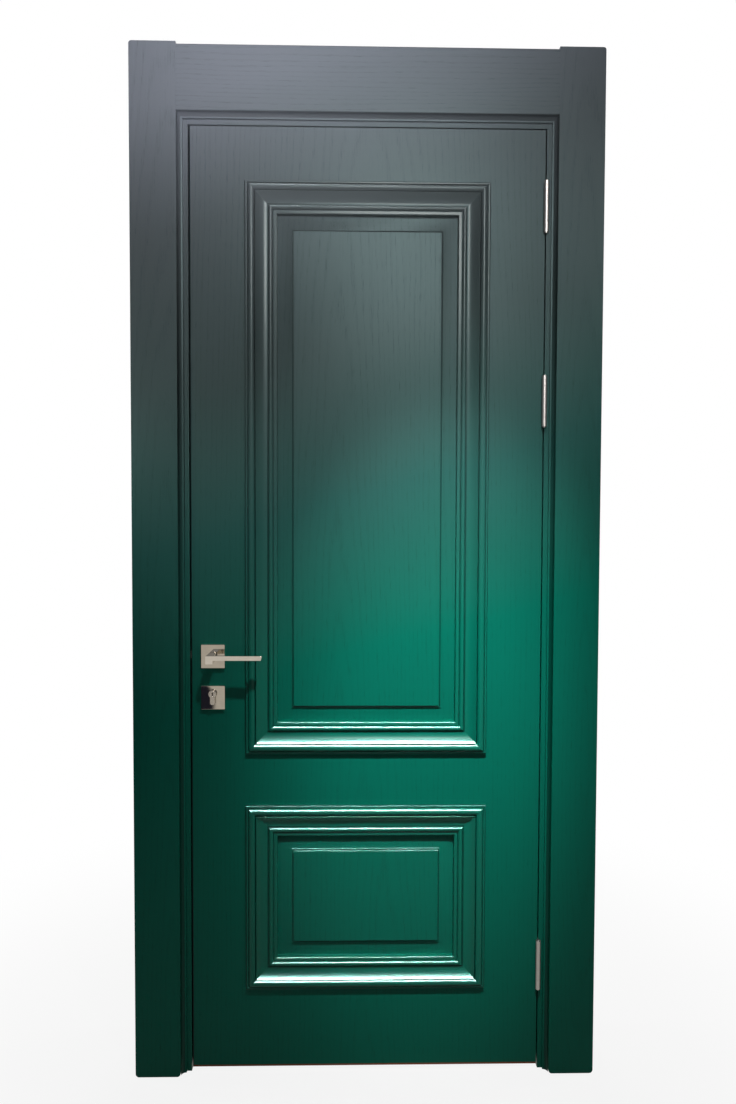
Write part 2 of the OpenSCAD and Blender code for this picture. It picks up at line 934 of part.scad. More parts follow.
module lower_mouldings_rear() {
    color(emerald) door_space() leaf_rear() moulding_frame(lower_z0, lower_z1);
}

// Lock and furniture on the leaf

module lock_case() {
    y0 = leaf_mid - case_t / 2;
    y1 = leaf_mid + case_t / 2;
    color(steel) door_space() difference() {
        block([case_x0, y0, case_z0], [case_x1, y1, case_z1]);
        block(
            [case_x0 - over, y0 + case_wall, case_z0 + case_wall],
            [case_x1 - case_wall, y1 - case_wall, case_z1 - case_wall]
        );
        cross_cylinder(spindle_x, handle_z, y0 - over, y1 + over, hub_r + 2 * run_fit);
        upright(y0 - over, y1 + over) cylinder_profile(slide_fit);
    }
}

// The two wood screws of the forend
module forend_screw_places() {
    for (z = [forend_z0 + forend_over / 2, forend_z1 - forend_over / 2])
        translate([-half_leaf, leaf_mid, z]) children();
}

// The long screw that holds the cylinder
module cylinder_screw_place() {
    translate([-half_leaf, leaf_mid, cylinder_z - key_screw_drop]) children();
}

module lock_forend() {
    bolt_z0 = cylinder_z + bolt_lift;
    color(nickel) door_space() difference() {
        block(
            [-half_leaf, leaf_mid - forend_w / 2, forend_z0],
            [case_x0, leaf_mid + forend_w / 2, forend_z1]
        );
        for (w = [[latch_t, latch_h, handle_z - latch_h / 2], [bolt_t, bolt_h, bolt_z0]])
            block(
                [-half_leaf - over, leaf_mid - w[0] / 2 - slide_fit, w[2] - slide_fit],
                [case_x0 + over, leaf_mid + w[0] / 2 + slide_fit, w[2] + w[1] + slide_fit]
            );
        forend_screw_places() wood_screw(joint_fit / 2);
        cylinder_screw_place() wood_screw(joint_fit / 2);
    }
}

module forend_screws() {
    color(nickel) door_space() {
        forend_screw_places() driven_screw();
        cylinder_screw_place() driven_screw(backset + profile_leg_w / 2);
    }
}

// A square plate on the front of the leaf
module square_plate(z) {
    upright(-rose_t, 0) translate([spindle_x, z]) rounded_plate(rose_w, rose_w, rose_round);
}

module rose() {
    difference() {
        square_plate(handle_z);
        cross_cylinder(spindle_x, handle_z, -rose_t - over, over, collar_r + 2 * run_fit);
    }
}

module escutcheon() {
    difference() {
        square_plate(escutcheon_z);
        upright(-rose_t - over, over) cylinder_profile(slide_fit);
    }
}

module front_rose() {
    color(nickel) door_space() rose();
}

module rear_rose() {
    color(nickel) door_space() leaf_rear() rose();
}

module front_escutcheon() {
    color(nickel) door_space() escutcheon();
}

module rear_escutcheon() {
    color(nickel) door_space() leaf_rear() escutcheon();
}

// Faces of the cylinder at the front and at the rear
cylinder_y0 = -rose_t - cylinder_out;
cylinder_y1 = leaf_t + rose_t + cylinder_out;

module cylinder_body() {
    color(nickel) door_space() difference() {
        upright(cylinder_y0, cylinder_y1) cylinder_profile();
        cross_cylinder(spindle_x, cylinder_z, cylinder_y0 - over, cylinder_y1 + over, plug_r);
        cross_cylinder(
            spindle_x, cylinder_z,
            leaf_mid - cam_t / 2 - joint_fit, leaf_mid + cam_t / 2 + joint_fit, cam_r + slide_fit
        );
        cylinder_screw_place() wood_screw(joint_fit / 2, backset + profile_leg_w);
    }
}

module top_hinge_door_leaf() {
    door_flap(top_hinge_z);
}

module middle_hinge_door_leaf() {
    door_flap(middle_hinge_z);
}

module bottom_hinge_door_leaf() {
    door_flap(bottom_hinge_z);
}

module door_hinge_screws() {
    color(steel) door_space() for (z = hinge_heights) hinge_other_side() flap_screws(z) driven_screw();
}

// Moving pieces

// The lever on the front: collar in the rose, neck, and an arm along the leaf
module lever() {
    collar_y = -rose_t - collar_len;
    socket_d = lever_reach - arm_t - 4;
    taper_l = 5;
    difference() {
        union() {
            cross_cylinder(spindle_x, handle_z, collar_y, -joint_fit, collar_r);
            translate([spindle_x, collar_y, handle_z]) rotate([90, 0, 0])
                cylinder(h = taper_l, r1 = collar_r, r2 = neck_w / 2);
            upright(-lever_reach, collar_y + over) translate([spindle_x, handle_z])
                rounded_plate(neck_w, neck_h, rose_round);
            upright(-lever_reach, -lever_reach + arm_t) translate([spindle_x, handle_z + neck_h / 2])
                polygon([
                    [0, -arm_h], [lever_len - arm_h / 4, -arm_h], [lever_len, 0], [0, 0]
                ]);
        }
        translate([spindle_x, -socket_d / 2 + over / 2, handle_z]) cube(
            [spindle_w + 2 * run_fit, socket_d + over, spindle_w + 2 * run_fit], center = true
        );
    }
}

module front_lever() {
    color(nickel) door_space() lever();
}

module rear_lever() {
    color(nickel) door_space() leaf_rear() lever();
}

module spindle() {
    reach = lever_reach - arm_t - 5;
    color(steel) door_space() translate([spindle_x, leaf_mid, handle_z])
        cube([spindle_w, leaf_t + 2 * reach, spindle_w], center = true);
}

module follower() {
    y0 = leaf_mid - case_t / 2;
    y1 = leaf_mid + case_t / 2;
    hole_w = spindle_w + 2 * run_fit;
    color(steel) door_space() difference() {
        union() {
            cross_cylinder(spindle_x, handle_z, y0, y1, hub_r);
            block(
                [spindle_x - hub_arm_w / 2, leaf_mid - hook_y, handle_z],
                [spindle_x + hub_arm_w / 2, leaf_mid + hub_arm_y, handle_z + hub_arm_len]
            );
        }
        translate([spindle_x, leaf_mid, handle_z]) cube([hole_w, case_t + 2 * over, hole_w], center = true);
    }
}

// The latch head with its slanted nose, the tail over the follower and the hook its arm pulls on
module latch_bolt() {
    head_x1 = latch_x0 + latch_head_len;
    hook_x0 = spindle_x + hub_arm_w / 2 + latch_hook_gap;
    hook_x1 = hook_x0 + latch_hook_w;
    tail_x0 = head_x1 - latch_tail_root;
    tail_y0 = leaf_mid + latch_tail_y;
    tail_y1 = tail_y0 + latch_tail_t;
    tail_z0 = handle_z + latch_tail_z0;
    tail_z1 = tail_z0 + latch_tail_h;
    color(steel) door_space() {
        translate([0, 0, handle_z - latch_h / 2]) linear_extrude(latch_h) polygon([
            [latch_x0, leaf_mid - latch_t / 2], [head_x1, leaf_mid - latch_t / 2],
            [head_x1, leaf_mid + latch_t / 2], [latch_x0 + latch_t - latch_nose, leaf_mid + latch_t / 2],
            [latch_x0, leaf_mid - latch_t / 2 + latch_nose]
        ]);
        block([tail_x0, tail_y0, handle_z], [head_x1, tail_y1, tail_z1]);
        block([tail_x0, tail_y0, tail_z0], [hook_x1, tail_y1, tail_z1]);
        block([hook_x0, leaf_mid - hook_y, tail_z0], [hook_x1, tail_y1, tail_z0 + latch_tail_t]);
    }
}

module deadbolt() {
    z0 = cylinder_z + bolt_lift;
    color(steel) door_space() block(
        [-half_leaf + bolt_set, leaf_mid - bolt_t / 2, z0],
        [-half_leaf + bolt_len, leaf_mid + bolt_t / 2, z0 + bolt_h]
    );
}

module cylinder_plug() {
    proud = 0.3;
    color(nickel) door_space() difference() {
        cross_cylinder(
            spindle_x, cylinder_z, cylinder_y0 - proud, leaf_mid - cam_t / 2, plug_r - run_fit
        );
        translate([spindle_x - keyway_w / 2, cylinder_y0 - proud - over, cylinder_z - keyway_h / 2])
            cube([keyway_w, keyway_d, keyway_h]);
    }
}

module cylinder_cam() {
    tooth_w = 8;
    color(steel) door_space() upright(leaf_mid - cam_t / 2, leaf_mid + cam_t / 2)
        translate([spindle_x, cylinder_z]) {
            circle(cam_hub_r);
            intersection() {
                circle(cam_r);
                translate([-tooth_w / 2, -cam_r]) square([tooth_w, cam_r]);
            }
        }
}

module thumb_turn() {
    knob_w = 11;
    knob_h = 30;
    knob_d = 20;
    color(nickel) door_space() {
        cross_cylinder(
            spindle_x, cylinder_z, leaf_mid + cam_t / 2, cylinder_y1 + over, plug_r - run_fit
        );
        upright(cylinder_y1 + over, cylinder_y1 + over + knob_d) translate([spindle_x, cylinder_z])
            rounded_plate(knob_w, knob_h, knob_w / 2 - 0.5);
    }
}

lock_jamb();
hinge_jamb();
head_jamb();
lock_stop();
hinge_stop();
head_stop();
seal_strip();
lock_casing_front();
hinge_casing_front();
head_casing_front();
lock_casing_rear();
hinge_casing_rear();
head_casing_rear();
strike_plate();
strike_screws();
top_hinge_frame_leaf();
middle_hinge_frame_leaf();
bottom_hinge_frame_leaf();
hinge_pins();
frame_hinge_screws();
lock_stile();
hinge_stile();
top_rail();
lock_rail();
bottom_rail();
front_face_sheet();
rear_face_sheet();
upper_panel();
lower_panel();
upper_moulding_top();
upper_moulding_bottom();
upper_moulding_left();
upper_moulding_right();
lower_moulding_top();
lower_moulding_bottom();
lower_moulding_left();
lower_moulding_right();
upper_mouldings_rear();
lower_mouldings_rear();
lock_case();
lock_forend();
forend_screws();
front_rose();
rear_rose();
front_escutcheon();
rear_escutcheon();
cylinder_body();
top_hinge_door_leaf();
middle_hinge_door_leaf();
bottom_hinge_door_leaf();
door_hinge_screws();
front_lever();
rear_lever();
spindle();
follower();
latch_bolt();
deadbolt();
cylinder_plug();
cylinder_cam();
thumb_turn();
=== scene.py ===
"""Looks of a panelled interior door in its frame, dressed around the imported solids."""

import math

import bmesh
import bpy
from mathutils import Matrix, Vector


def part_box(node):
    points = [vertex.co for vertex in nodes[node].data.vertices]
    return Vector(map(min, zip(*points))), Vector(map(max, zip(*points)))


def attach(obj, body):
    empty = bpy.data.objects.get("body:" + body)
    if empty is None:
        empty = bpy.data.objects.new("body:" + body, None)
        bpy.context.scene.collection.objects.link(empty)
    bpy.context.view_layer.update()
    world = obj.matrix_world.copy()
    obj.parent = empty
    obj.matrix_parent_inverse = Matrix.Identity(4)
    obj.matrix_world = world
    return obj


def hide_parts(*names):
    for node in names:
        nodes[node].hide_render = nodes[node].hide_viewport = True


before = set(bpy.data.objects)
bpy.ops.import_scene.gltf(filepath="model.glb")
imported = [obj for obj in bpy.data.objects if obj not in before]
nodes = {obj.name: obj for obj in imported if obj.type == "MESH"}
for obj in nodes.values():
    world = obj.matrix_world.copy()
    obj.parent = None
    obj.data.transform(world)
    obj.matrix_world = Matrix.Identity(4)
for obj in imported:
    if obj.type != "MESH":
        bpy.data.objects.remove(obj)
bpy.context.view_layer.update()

MM = 0.001

# The photograph's frame and the place it was taken from
PHOTO_W, PHOTO_H = 736, 1104
FOCAL_PX = 850
CAMERA_AT = Vector((-0.0363, -1.9986, 1.2836))
CAMERA_YAW = math.radians(1.151)
CAMERA_PITCH = math.radians(2.19)
CAMERA_ROLL = math.radians(0.192)

# Bolection moulding, in millimetres: in from its outer edge, and up off the leaf's face
MOULDING_W = 72
MOULDING_LAP = 26.2
PANEL_DROP = 11
OUTER_FILLET_W = 5
OUTER_FILLET_H = 8.5
OUTER_FILLET_ROUND = 2
OUTER_BEAD_R = 8.5
OUTER_BEAD_FOOT = 6
QUIRK = 1
COVE_TOP = 12.5
COVE_LOW = 1.4
COVE_FOOT = 1
INNER_BEAD_R = 5.5
INNER_FILLET_W = 8
INNER_FILLET_H = 2.2
FILLET_EASE = 0.6

# Painted shade in dark lines along the moulding's quirks and outer edge, in millimetres: how far in
# each lies, and the height it stays under
PAINTED_SHADE_LINES = ((0.3, 8.6), (5.5, 8), (23.5, 11), (51.5, 4.5), (63.5, 2.1))
SHADE_LINE_REACH = 1.7

# Where the painted shade of such lines stands among a piece's materials
IN_PAINTED_SHADE = 2

# Raised panel, in millimetres
TONGUE_SHOW = 45
BEVEL_W = 33
BEVEL_RISE = 4.5
LEDGE_W = 4
LEDGE_DIP = 1.2
STEP_H = 2.6
PANEL_EASE = 0.7

# How squarely a panel's faces look out: its ledge, painted in shade as a dark line, between two values,
# its flats above one
LEDGE_LOOK = (0.94, 0.975)
FLAT_LOOK = 0.985

# In degrees: from which angle a panel's edge is eased, and up to which its faces shade as one
PANEL_CREASE = 20
PANEL_SMOOTH = 50

# Casings, in millimetres
LIP_W = 11
LIP_EDGE = 6
LIP_DEEP = 4
CASING_T = 22
CASING_ROUND = 5
CASING_ARRIS = 2
CASING_CORNER = 6
CASING_FOOT = 8

# Fittings: the angle in degrees from which an edge is eased, and the millimetres by which the
# cylinder stands out beyond its solid
FITTING_CREASE = 35
CYLINDER_PROUD = 7

# Solids read back as meshes: corners this close in millimetres are one, and faces that meet within
# this many degrees are one
WELD = 0.002
FLAT_WITHIN = 0.5

leaf_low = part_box("front_face_sheet")[0]
leaf_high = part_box("rear_face_sheet")[1]
leaf_front, leaf_rear = leaf_low.y, leaf_high.y
leaf_middle = (leaf_front + leaf_rear) / 2
wall_low, wall_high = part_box("hinge_jamb")
wall_middle = (wall_low.y + wall_high.y) / 2


# Node materials

class Field:
    """A value or colour that changes over a surface: a socket with arithmetic."""

    def __init__(self, finish, socket):
        self.finish = finish
        self.socket = socket

    def math(self, operation, *others):
        inputs = dict(enumerate((self, *others)))
        return self.finish.node("Math", {"operation": operation}, inputs)

    def __add__(self, other):
        return self.math("ADD", other)

    __radd__ = __add__

    def __sub__(self, other):
        return self.math("SUBTRACT", other)

    def __rsub__(self, other):
        return self.finish.node("Math", {"operation": "SUBTRACT"}, {0: other, 1: self})

    def __mul__(self, other):
        return self.math("MULTIPLY", other)

    __rmul__ = __mul__

    def __pow__(self, other):
        return self.math("POWER", other)

    def smooth(self, low, high):
        """Rises gently from 0 at one value to 1 at another."""
        settings = {"interpolation_type": "SMOOTHSTEP"}
        inputs = {"Value": self, "From Min": low, "From Max": high}
        return self.finish.node("MapRange", settings, inputs)


class Finish:
    """A material, or the world, built node by node."""

    def __init__(self, name, owner=None):
        self.owner = owner or bpy.data.materials.new(name)
        self.owner.use_nodes = True
        self.tree = self.owner.node_tree
        self.tree.nodes.clear()

    def node(self, kind, settings=None, inputs=None, out=None):
        made = self.tree.nodes.new("ShaderNode" + kind)
        for key, value in (settings or {}).items():
            if key == "stops":
                ramp = made.color_ramp.elements
                while len(ramp) < len(value):
                    ramp.new(1)
                for stop, (place, colour) in zip(ramp, value):
                    stop.position = place
                    stop.color = (*colour, 1)
            else:
                setattr(made, key, value)
        for key, value in (inputs or {}).items():
            shown = [s for s in made.inputs if s.enabled]
            socket = shown[key] if isinstance(key, int) else next(s for s in shown if s.name == key)
            if isinstance(value, Field):
                self.tree.links.new(value.socket, socket)
            elif isinstance(value, tuple) and len(value) == 3 and socket.type == "RGBA":
                socket.default_value = (*value, 1)
            else:
                socket.default_value = value
        outs = [s for s in made.outputs if s.enabled and out in (None, s.name)]
        return Field(self, outs[0]) if outs else None

    def noise(self, place, scale, stretch=(1, 1, 1), detail=3, roughness=0.5):
        spread = self.node("Mapping", None, {"Vector": place, "Scale": stretch})
        inputs = {"Vector": spread, "Scale": scale, "Detail": detail, "Roughness": roughness}
        return self.node("TexNoise", None, inputs, "Fac")

    def blend(self, factor, a, b, mode="MIX"):
        settings = {"data_type": "RGBA", "blend_type": mode}
        return self.node("Mix", settings, {"Factor": factor, "A": a, "B": b})

    def bump(self, height, strength, distance):
        return self.node("Bump", None, {"Height": height, "Strength": strength, "Distance": distance})

    def surface(self, **inputs):
        named = {key.replace("_", " "): value for key, value in inputs.items()}
        return self.node("BsdfPrincipled", None, named)

    def output(self, shader):
        kind = "OutputWorld" if isinstance(self.owner, bpy.types.World) else "OutputMaterial"
        self.node(kind, None, {"Surface": shader})
        return self.owner


# The paint's colours by height in metres at the leaf's middle; they slope across its width as a painted
# sheen, the slate reaching lower on the lock side
PAINT_TOP = 2.6
SHEEN_TILT = -0.28
PAINT_SHADES = [
    (0.00, (0.000, 0.122, 0.078)),
    (0.98, (0.000, 0.140, 0.094)),
    (1.34, (0.024, 0.117, 0.100)),
    (1.70, (0.078, 0.114, 0.112)),
    (2.05, (0.124, 0.142, 0.154)),
    (2.33, (0.200, 0.215, 0.255)),
]
GRAIN_SHADE = (0.66, 0.70, 0.70)
PAINT_TINT = (0.60, 0.95, 1.0)
GRAIN_DEPTH = 0.22 * MM

# The leaf's unpainted foot, and a painted shadow of the gap along its lock-side edge
RAW_EDGE, RAW_TIMBER = 4 * MM, (0.26, 0.075, 0.030)
GAP_SHADOW_W, GAP_SHADOW_COLOUR = 2 * MM, (0.001, 0.004, 0.004)

# Turns of the grain, and how much sheen and grain there is on flats and on mouldings
UPRIGHT = (0, 0, 0)
LEVEL = (0, math.pi / 2, 0)
FLAT_SHEEN, FLAT_RELIEF = 0.0, 0.30
MOULDING_SHEEN, MOULDING_RELIEF = 0.14, 0.02

# How dark the painted shade in the quirks is, from which height in metres it grows paler, and how fast
QUIRK_SHADE_TONE = 0.40
SHADE_PALER_FROM, SHADE_PALER_RISE = 1, 1.0


def shaded_paint(
    name, grain=UPRIGHT, heart=(0, 0, 0), sheen=FLAT_SHEEN, relief=FLAT_RELIEF, tone=1,
    raw_foot=None, gap_shadow_edge=None
):
    """Open-pored ash under paint that shades from slate at the top to emerald at the floor."""
    finish = Finish(name)
    place = finish.node("TexCoord", None, None, "Object")
    height = finish.node("SeparateXYZ", None, {0: place}, "Z")
    width = finish.node("SeparateXYZ", None, {0: place}, "X")
    board = finish.node("Mapping", None, {"Vector": place, "Rotation": grain, "Location": heart})
    across = finish.node("SeparateXYZ", None, {0: board}, "X")
    along = finish.node("SeparateXYZ", None, {0: board}, "Z")

    cloud = finish.noise(place, 1.6, (1.4, 1.4, 0.8), 2)
    # The slope across the width is painted sheen
    shade = (height + width * SHEEN_TILT + (cloud - 0.5) * 0.12) * (1 / PAINT_TOP)
    stops = []
    # A tone under 1 darkens the stops into painted shade, which grows paler higher up
    for z, pure in PAINT_SHADES:
        share = tone + (1 - tone) * SHADE_PALER_RISE * max(0, z - SHADE_PALER_FROM) / PAINT_TOP
        stops.append((z / PAINT_TOP, tuple(c * share for c in pure)))
    colour = finish.node("ValToRGB", {"stops": stops}, {"Fac": shade}, "Color")

    wander = finish.noise(board, 1.0, (7, 7, 0.9), 3)
    depth = along * 0.06 + 0.035
    rings = (across * across + depth * depth) ** 0.5 * 95 + wander * 5
    figure = ((rings * math.tau).math("SINE") * 0.5 + 0.5) ** 3
    streaks = finish.noise(board, 1.0, (330, 330, 7), 4, 0.6).smooth(0.42, 0.74)
    pores = finish.noise(board, 1.0, (950, 950, 34), 2).smooth(0.56, 0.70)
    marks = figure * 0.20 + streaks * 0.24 + pores * (figure * 0.5 + 0.25)
    grain_mask = marks.smooth(0.02, 1.0) * (relief / FLAT_RELIEF)
    colour = finish.blend(grain_mask, colour, GRAIN_SHADE, "MULTIPLY")
    if raw_foot is not None:
        bare = height.math("LESS_THAN", raw_foot)
        colour = finish.blend(bare, colour, RAW_TIMBER)
    # A painted shadow of the gap darkens the lock-side edge
    if gap_shadow_edge is not None:
        in_gap_shadow = width.math("LESS_THAN", gap_shadow_edge)
        colour = finish.blend(in_gap_shadow, colour, GAP_SHADOW_COLOUR)

    peel = finish.noise(place, 420, (1, 1, 1), 2)
    surface = peel * 0.10 - figure * 0.12 - streaks * 0.20 - pores * 0.45
    roughness = cloud * 0.06 + grain_mask * 0.10 + 0.30
    return finish.output(finish.surface(
        Base_Color=colour, Roughness=roughness, Specular_IOR_Level=0.15, Specular_Tint=PAINT_TINT,
        Coat_Weight=sheen, Coat_Roughness=0.22, Normal=finish.bump(surface, relief, GRAIN_DEPTH)
    ))


def brushed_metal(name, colour, stroke, roughness, marks=1.0):
    """Metal with fine straight brush marks across the given stretch, and faint handling marks."""
    finish = Finish(name)
    place = finish.node("TexCoord", None, None, "Object")
    brush = finish.noise(place, 1.0, stroke, 3, 0.6)
    smear = finish.noise(place, 55, (1, 1, 1), 3)
    worn = (brush * 0.5 + smear * 0.5).smooth(0.3, 0.7)
    tone = finish.blend(worn, colour, tuple(c * 0.88 for c in colour))
    rough = (brush * 0.10 + smear * 0.08 - 0.09) * marks + roughness
    return finish.output(finish.surface(
        Base_Color=tone, Metallic=1.0, Roughness=rough,
        Normal=finish.bump(brush, 0.08 * marks, 0.05 * MM)
    ))


def bare_timber(name):
    """Planed core timber, with its rings and pores."""
    finish = Finish(name)
    place = finish.node("TexCoord", None, None, "Object")
    streaks = finish.noise(place, 1.0, (90, 90, 3), 4, 0.6)
    pores = finish.noise(place, 1.0, (700, 700, 25), 2).smooth(0.55, 0.7)
    colour = finish.blend(streaks.smooth(0.3, 0.7), (0.50, 0.32, 0.17), (0.36, 0.21, 0.10))
    colour = finish.blend(pores * 0.5, colour, (0.6, 0.5, 0.4), "MULTIPLY")
    return finish.output(finish.surface(
        Base_Color=colour, Roughness=streaks * 0.1 + 0.55, Normal=finish.bump(streaks, 0.2, 0.2 * MM)
    ))


def seal_rubber(name):
    """Matt extruded rubber with faint drag lines and bloom."""
    finish = Finish(name)
    place = finish.node("TexCoord", None, None, "Object")
    bloom = finish.noise(place, 40, (1, 1, 0.3), 3)
    colour = finish.blend(bloom, (0.010, 0.010, 0.011), (0.028, 0.028, 0.030))
    return finish.output(finish.surface(
        Base_Color=colour, Roughness=bloom * 0.15 + 0.5, Normal=finish.bump(bloom, 0.15, 0.2 * MM)
    ))


leaf_paint = shaded_paint("leaf_paint", raw_foot=leaf_low.z + RAW_EDGE)
# The front sheet carries the painted shadow of the gap on its lock-side edge
face_paint = shaded_paint(
    "face_paint", raw_foot=leaf_low.z + RAW_EDGE, gap_shadow_edge=leaf_low.x + GAP_SHADOW_W
)
panel_paint = shaded_paint("panel_paint", heart=(0.06, 0, -1.1))
lower_panel_paint = shaded_paint("lower_panel_paint", heart=(-0.05, 0, -0.3))
lock_side_paint = shaded_paint("lock_side_paint", heart=(0.44, 0, -0.7))
hinge_side_paint = shaded_paint("hinge_side_paint", heart=(-0.50, 0, -1.4))
level_paint = shaded_paint("level_paint", LEVEL, (0.35, 0, 0.2))
moulding_paint = shaded_paint(
    "moulding_paint", UPRIGHT, (0.3, 0, -2.0), MOULDING_SHEEN, MOULDING_RELIEF
)
level_moulding_paint = shaded_paint(
    "level_moulding_paint", LEVEL, (-0.8, 0, 0.5), MOULDING_SHEEN, MOULDING_RELIEF
)
lining_paint = shaded_paint("lining_paint", heart=(0.9, 0, -1.0))
# Paint darkened as painted shade, laid in the quirks, on the panels' ledges and in the casings' lip
# coves
quirk_shade_paint = shaded_paint(
    "quirk_shade_paint", heart=(0.2, 0, -0.5), relief=MOULDING_RELIEF, tone=QUIRK_SHADE_TONE
)
# The levers' nickel is the plates' polished nickel painted paler, to stand out as lit against the roses
lit_lever_nickel = brushed_metal("lit_lever_nickel", (0.88, 0.85, 0.79), (60, 900, 900), 0.02, 0.10)
polished_nickel = brushed_metal("polished_nickel", (0.64, 0.60, 0.53), (60, 900, 900), 0.02, 0.10)
satin_nickel = brushed_metal("satin_nickel", (0.80, 0.75, 0.68), (900, 900, 60), 0.22)
hinge_steel = brushed_metal("hinge_steel", (0.46, 0.46, 0.45), (900, 900, 60), 0.42)
plain_steel = brushed_metal("plain_steel", (0.50, 0.50, 0.49), (900, 60, 900), 0.34)
core_timber = bare_timber("core_timber")
rubber = seal_rubber("rubber")


# Mesh helpers

def inset(bm, face, width):
    """Draws a face's edge inwards by a width in millimetres, with a new border round it."""
    bmesh.ops.inset_individual(bm, faces=[face], thickness=width * MM, use_even_offset=True)


def sharp_edges(bm, degrees):
    limit = math.radians(degrees)
    return [e for e in bm.edges if len(e.link_faces) == 2 and e.calc_face_angle(0) > limit]


def ease(bm, edges, radius, segments=3):
    bmesh.ops.bevel(
        bm, geom=edges, offset=radius, offset_type="OFFSET", segments=segments, profile=0.5,
        affect="EDGES", clamp_overlap=True, material=-1
    )


def piece(name, bm, body, materials, stands_for, smooth_to=32):
    """Makes a finished object of a bmesh that replaces CAD nodes and moves with their body."""
    bmesh.ops.recalc_face_normals(bm, faces=bm.faces)
    for face in bm.faces:
        face.smooth = True
    mesh = bpy.data.meshes.new(name)
    bm.to_mesh(mesh)
    bm.free()
    for material in materials:
        mesh.materials.append(material)
    mesh.set_sharp_from_angle(angle=math.radians(smooth_to))
    made = bpy.data.objects.new(name, mesh)
    bpy.context.scene.collection.objects.link(made)
    firm = made.modifiers.new("firm_flats", "WEIGHTED_NORMAL")
    firm.mode = "FACE_AREA"
    firm.weight = 50
    firm.keep_sharp = True
    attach(made, body)
    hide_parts(*stands_for)


class Outline:
    """A closed outline of straight stretches and arcs, drawn on the plane of two axes."""

    def __init__(self, bm, right, up, start):
        self.bm = bm
        self.right, self.up = Vector(right), Vector(up)
        self.first = self.tip = bm.verts.new(self.spot(start))
        self.edges = []

    def spot(self, at):
        return self.right * (at[0] * MM) + self.up * (at[1] * MM)

    def line(self, *ends):
        for end in ends:
            vert = self.bm.verts.new(self.spot(end))
            self.edges.append(self.bm.edges.new((self.tip, vert)))
            self.tip = vert
        return self

    def arc(self, centre, degrees, steps):
        """Turns the tip about a centre, counter-clockwise as the outline's axes are drawn."""
        turned = bmesh.ops.spin(
            self.bm, geom=[self.tip], cent=self.spot(centre), axis=self.right.cross(self.up),
            angle=math.radians(degrees), steps=steps
        )
        self.tip = next(v for v in turned["geom_last"] if isinstance(v, bmesh.types.BMVert))
        return self

    def face(self):
        self.bm.edges.new((self.tip, self.first))
        loose = [e for e in self.bm.edges if not e.link_faces]
        return bmesh.ops.contextual_create(self.bm, geom=loose)["faces"][0]


def extruded(bm, face, along):
    """Draws a face out into a solid."""
    made = bmesh.ops.extrude_face_region(bm, geom=[face], use_keep_orig=True)
    far = [v for v in made["geom"] if isinstance(v, bmesh.types.BMVert)]
    bmesh.ops.translate(bm, vec=along, verts=far)


def cut_off(bm, at, normal):
    """Cuts a solid with a plane, drops what lies beyond it and closes the cut."""
    geom = bm.verts[:] + bm.edges[:] + bm.faces[:]
    bmesh.ops.bisect_plane(bm, geom=geom, plane_co=at, plane_no=normal, clear_outer=True)
    rim = [e for e in bm.edges if e.is_boundary]
    bmesh.ops.contextual_create(bm, geom=rim)


def add_to(whole, part, place, material=0):
    """Puts a finished part into a whole, at its place."""
    bmesh.ops.recalc_face_normals(part, faces=part.faces)
    for face in part.faces:
        face.material_index = face.material_index or material
    scratch = bpy.data.meshes.new("scratch")
    part.transform(place)
    part.to_mesh(scratch)
    part.free()
    whole.from_mesh(scratch)
    bpy.data.meshes.remove(scratch)


# Mouldings

def moulding_face(bm):
    """The moulding's section, with z in from its outer edge and -y off the leaf."""
    bead_1 = OUTER_FILLET_W + QUIRK + OUTER_BEAD_R
    cove_from = bead_1 + OUTER_BEAD_R + QUIRK
    fillet_2 = MOULDING_W - INNER_FILLET_W
    bead_2 = fillet_2 - QUIRK - INNER_BEAD_R
    cove_to = bead_2 - INNER_BEAD_R - QUIRK
    run, drop = cove_to - cove_from - QUIRK, COVE_TOP - COVE_LOW
    cove_r = (run * run + drop * drop) / (2 * drop)
    cove_turn = math.degrees(math.asin(run / cove_r))
    e, r = FILLET_EASE, OUTER_FILLET_ROUND
    section = Outline(bm, (0, 0, 1), (0, -1, 0), (0, 0))
    section.line((0, OUTER_FILLET_H - r)).arc((r, OUTER_FILLET_H - r), -90, 4)
    section.line((OUTER_FILLET_W - e, OUTER_FILLET_H))
    section.arc((OUTER_FILLET_W - e, OUTER_FILLET_H - e), -90, 3)
    section.line((OUTER_FILLET_W, OUTER_BEAD_FOOT), (OUTER_FILLET_W + QUIRK, OUTER_BEAD_FOOT))
    section.arc((bead_1, OUTER_BEAD_FOOT), -180, 22)
    section.line((cove_from, OUTER_BEAD_FOOT), (cove_from, COVE_TOP - e))
    section.arc((cove_from + e, COVE_TOP - e), -90, 3)
    section.line((cove_from + QUIRK, COVE_TOP)).arc((cove_to, COVE_LOW + cove_r), cove_turn, 14)
    section.line((cove_to, COVE_FOOT), (cove_to + QUIRK, COVE_FOOT))
    section.arc((bead_2, COVE_FOOT), -180, 18)
    section.line((fillet_2, COVE_FOOT), (fillet_2, INNER_FILLET_H - e))
    section.arc((fillet_2 + e, INNER_FILLET_H - e), -90, 3)
    section.line((MOULDING_W - INNER_FILLET_H, INNER_FILLET_H))
    section.arc((MOULDING_W - INNER_FILLET_H, 0), -90, 5)
    section.line((MOULDING_W, -PANEL_DROP), (MOULDING_LAP, -PANEL_DROP), (MOULDING_LAP, 0))
    return section.face()


